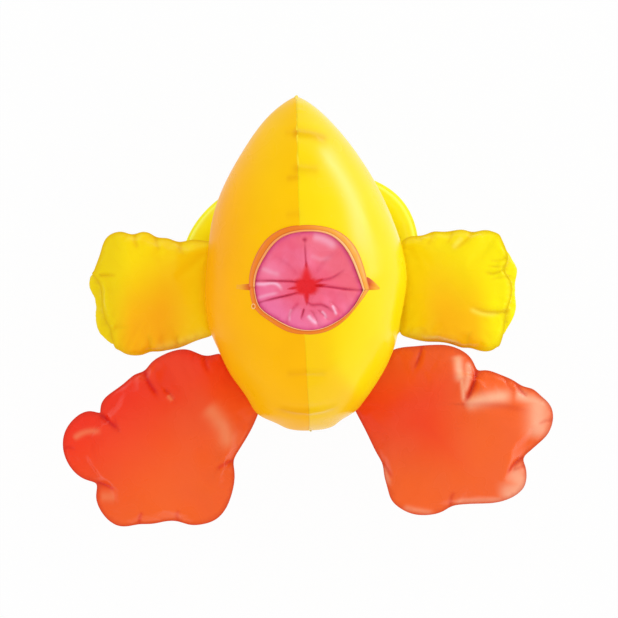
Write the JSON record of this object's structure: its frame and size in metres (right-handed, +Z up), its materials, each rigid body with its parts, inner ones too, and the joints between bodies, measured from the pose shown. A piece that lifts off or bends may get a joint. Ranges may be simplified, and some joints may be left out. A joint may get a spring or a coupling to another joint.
{
  "type": "floating chlorine dispenser",
  "caption": "Inflated vinyl duck float on an oval cushion, with a pleated throat and a slotted tablet canister hanging underneath.",
  "frame": {"origin": "middle of the canister's flat base, on the canister's axis", "axes": "+Z up along the canister's axis towards the open mouth, +Y towards the tip of the tail, -Y towards the feet, +X to the right seen from above"},
  "size_m": [0.4899, 0.425, 0.3865],
  "materials": {
    "yellow_vinyl": "glossy soft vinyl film",
    "orange_vinyl": "glossy soft vinyl film",
    "orange_trim": "glossy welded vinyl band",
    "pink_vinyl": "glossy thin vinyl film, gathered",
    "white_plastic": "moulded plastic",
    "blue_plastic": "moulded plastic",
    "tablet": "pressed powder",
    "clear_vinyl": "soft moulded vinyl"
  },
  "bodies": {
    "float": {"body_left_panel": "yellow_vinyl", "body_right_panel": "yellow_vinyl", "upper_lip": "orange_trim", "lower_lip": "orange_trim", "throat_funnel": "pink_vinyl", "throat_sleeve": "pink_vinyl", "cushion_top_panel": "yellow_vinyl", "cushion_bottom_panel": "yellow_vinyl", "left_wing_web": "yellow_vinyl", "right_wing_web": "yellow_vinyl", "left_foot_web": "orange_vinyl", "right_foot_web": "orange_vinyl", "collar": "white_plastic", "body_valve": "clear_vinyl", "cushion_valve": "clear_vinyl"},
    "left_wing": {"left_wing_front_panel": "yellow_vinyl", "left_wing_back_panel": "yellow_vinyl"},
    "right_wing": {"right_wing_front_panel": "yellow_vinyl", "right_wing_back_panel": "yellow_vinyl"},
    "left_foot": {"left_foot_front_panel": "orange_vinyl", "left_foot_back_panel": "orange_vinyl"},
    "right_foot": {"right_foot_front_panel": "orange_vinyl", "right_foot_back_panel": "orange_vinyl"},
    "canister": {"canister": "white_plastic", "base_cap": "white_plastic", "tablets": "tablet"},
    "flow_ring": {"flow_ring": "blue_plastic"},
    "body_valve_plug": {"body_valve_plug": "clear_vinyl"},
    "cushion_valve_plug": {"cushion_valve_plug": "clear_vinyl"}
  },
  "joints": [
    {"name": "left_wing_flap", "type": "hinge", "parent": "float", "child": "left_wing", "pos_m": [-0.09, -0.0255, 0.196], "axis": [0, 1, 0], "range_deg": [-15, 25], "stiffness_Nm_per_rad": 1},
    {"name": "right_wing_flap", "type": "hinge", "parent": "float", "child": "right_wing", "pos_m": [0.096, -0.0255, 0.196], "axis": [0, -1, 0], "range_deg": [-15, 25], "stiffness_Nm_per_rad": 1},
    {"name": "left_foot_flap", "type": "hinge", "parent": "float", "child": "left_foot", "pos_m": [-0.063, -0.116, 0.205], "axis": [-0.5812, 0.8137, 0], "range_deg": [-12, 20], "stiffness_Nm_per_rad": 2},
    {"name": "right_foot_flap", "type": "hinge", "parent": "float", "child": "right_foot", "pos_m": [0.068, -0.114, 0.205], "axis": [-0.5615, -0.8275, 0], "range_deg": [-12, 20], "stiffness_Nm_per_rad": 2},
    {"name": "canister_release", "type": "slide", "parent": "float", "child": "canister", "axis": [0, 0, -1], "range_m": [0, 0.06]},
    {"name": "flow_ring_turn", "type": "hinge", "parent": "canister", "child": "flow_ring", "pos_m": [0, 0, 0.045], "axis": [0, 0, 1], "range_deg": [0, 15]},
    {"name": "body_valve_plug_pull", "type": "slide", "parent": "float", "child": "body_valve_plug", "axis": [0.5724, 0.5549, -0.6037], "range_m": [0, 0.009]},
    {"name": "cushion_valve_plug_pull", "type": "slide", "parent": "float", "child": "cushion_valve_plug", "axis": [0, 0, -1], "range_m": [0, 0.009]}
  ]
}
